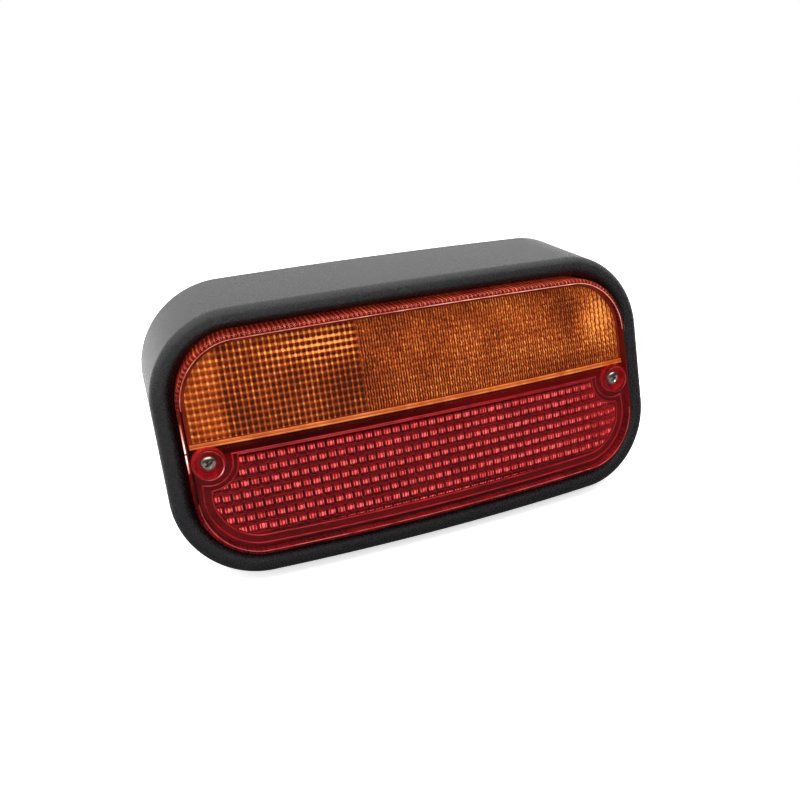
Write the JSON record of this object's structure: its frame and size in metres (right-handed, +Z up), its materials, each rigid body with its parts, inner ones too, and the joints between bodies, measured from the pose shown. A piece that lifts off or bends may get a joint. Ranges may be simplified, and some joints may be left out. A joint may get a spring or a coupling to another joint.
{
  "type": "tail light cluster",
  "caption": "Rounded black surface-mount tail light body with a bowed bicolour ribbed lens, amber over red, held by screws and fixed from behind.",
  "frame": {"origin": "centre between the two back fixings, on the flat back face", "axes": "+X across the lamp to the right seen from the front, +Z up, +Y out of the back; the lens looks along -Y"},
  "size_m": [0.27, 0.0858, 0.14],
  "materials": {
    "housing_black": "fine-grained moulded black plastic",
    "lens_amber": "clear amber moulded plastic, polished outside",
    "lens_red": "clear red moulded plastic, polished outside",
    "seal_rubber": "black rubber",
    "tray_white": "white moulded reflector",
    "brass": "plain brass",
    "screw_steel": "plated steel",
    "insulator_brown": "pressed insulating board",
    "bulb_cap_steel": "nickel-plated cap",
    "bulb_glass": "clear glass"
  },
  "bodies": {
    "root": {"housing": "housing_black", "lens_amber": "lens_amber", "lens_red": "lens_red", "lens_seal": "seal_rubber", "reflector_tray": "tray_white", "lens_screw_left": "screw_steel", "lens_screw_right": "screw_steel", "lens_insert_left": "brass", "lens_insert_right": "brass", "tray_screw_left": "screw_steel", "tray_screw_right": "screw_steel", "fixing_insert_left": "brass", "fixing_insert_right": "brass", "indicator_holder": "brass", "stop_holder": "brass", "indicator_insulator": "insulator_brown", "stop_insulator": "insulator_brown", "indicator_cap": "bulb_cap_steel", "stop_cap": "bulb_cap_steel", "indicator_glass": "bulb_glass", "stop_glass": "bulb_glass", "indicator_feed": "brass", "stop_feed": "brass", "earth_strip": "brass", "cable_grommet": "seal_rubber"}
  },
  "joints": []
}
